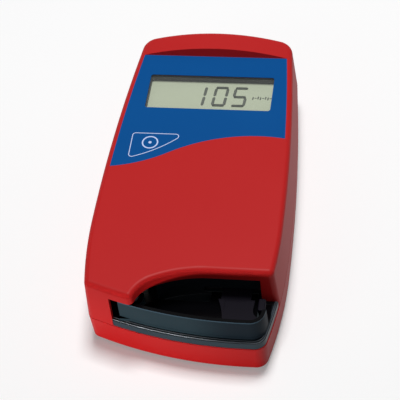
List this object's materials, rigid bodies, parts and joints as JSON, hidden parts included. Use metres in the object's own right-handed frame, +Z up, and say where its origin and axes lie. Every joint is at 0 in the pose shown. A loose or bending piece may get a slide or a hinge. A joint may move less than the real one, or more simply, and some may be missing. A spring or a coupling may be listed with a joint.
{
  "type": "blood glucose meter",
  "caption": "Bench blood glucose meter: bowed two-part case with a display, a film key, a sliding battery cover and a cuvette arm that swings out under a scooped front.",
  "frame": {"origin": "on the table under the middle of the meter's outline, where the feet stand", "axes": "+Z up, -Y towards the user (the arm is at the front), +X to the user's right"},
  "size_m": [0.085, 0.16, 0.043],
  "materials": {
    "case_red": "satin moulded ABS",
    "overlay_blue": "printed film, satin",
    "window_clear": "clear acrylic",
    "display_grey": "reflective liquid crystal glass",
    "frame_grey": "matt",
    "strip_rubber": "striped silicone",
    "arm_grey": "satin moulded ABS",
    "tray_grey": "satin moulded ABS",
    "holder_black": "matt",
    "optics_black": "matt",
    "emitter_clear": "clear epoxy",
    "foot_rubber": "matt",
    "screw_steel": "zinc plated",
    "contact_metal": "nickel plated",
    "cell_jacket": "printed jacket",
    "board_green": "solder mask",
    "chip_black": "matt epoxy",
    "inlet_black": "matt",
    "link_amber": "polyimide film"
  },
  "bodies": {
    "housing": {"top_shell": "case_red", "bottom_shell": "case_red", "cell_1": "cell_jacket", "cell_2": "cell_jacket", "cell_3": "cell_jacket", "cell_4": "cell_jacket", "front_contacts": "contact_metal", "rear_contacts": "contact_metal", "rear_left_foot": "foot_rubber", "rear_right_foot": "foot_rubber", "front_left_foot": "foot_rubber", "front_right_foot": "foot_rubber", "case_screws": "screw_steel", "board_screws": "screw_steel", "main_board": "board_green", "board_chips": "chip_black", "beeper": "chip_black", "display_panel": "display_grey", "display_frame": "frame_grey", "contact_strips": "strip_rubber", "display_lens": "window_clear", "overlay": "overlay_blue", "key_switch": "chip_black", "power_inlet": "inlet_black", "inlet_contact": "contact_metal", "arm_tray": "tray_grey", "arm_pin": "screw_steel", "optics_housing": "optics_black", "emitter": "emitter_clear", "detector": "contact_metal", "optics_board": "board_green", "board_link": "link_amber", "arm_switch": "chip_black", "arm_detent": "contact_metal"},
    "arm": {"cuvette_arm": "arm_grey", "cuvette_holder": "holder_black"},
    "catch": {"arm_catch": "arm_grey"},
    "key": {"power_key": "overlay_blue"},
    "cover": {"battery_cover": "case_red"}
  },
  "joints": [
    {"name": "arm_swing", "type": "hinge", "parent": "housing", "child": "arm", "pos_m": [-0.0205, -0.0635, 0.022], "axis": [0, 0, -1], "range_deg": [0, 55]},
    {"name": "catch_press", "type": "slide", "parent": "arm", "child": "catch", "axis": [-1, 0, 0], "range_m": [0, 0.0012], "stiffness_N_per_m": 600, "springref_m": -0.0008},
    {"name": "key_press", "type": "slide", "parent": "housing", "child": "key", "axis": [0, 0, -1], "range_m": [0, 0.0004], "stiffness_N_per_m": 3000, "springref_m": -0.0002},
    {"name": "cover_slide", "type": "slide", "parent": "housing", "child": "cover", "axis": [0, 1, 0], "range_m": [0, 0.045]}
  ]
}
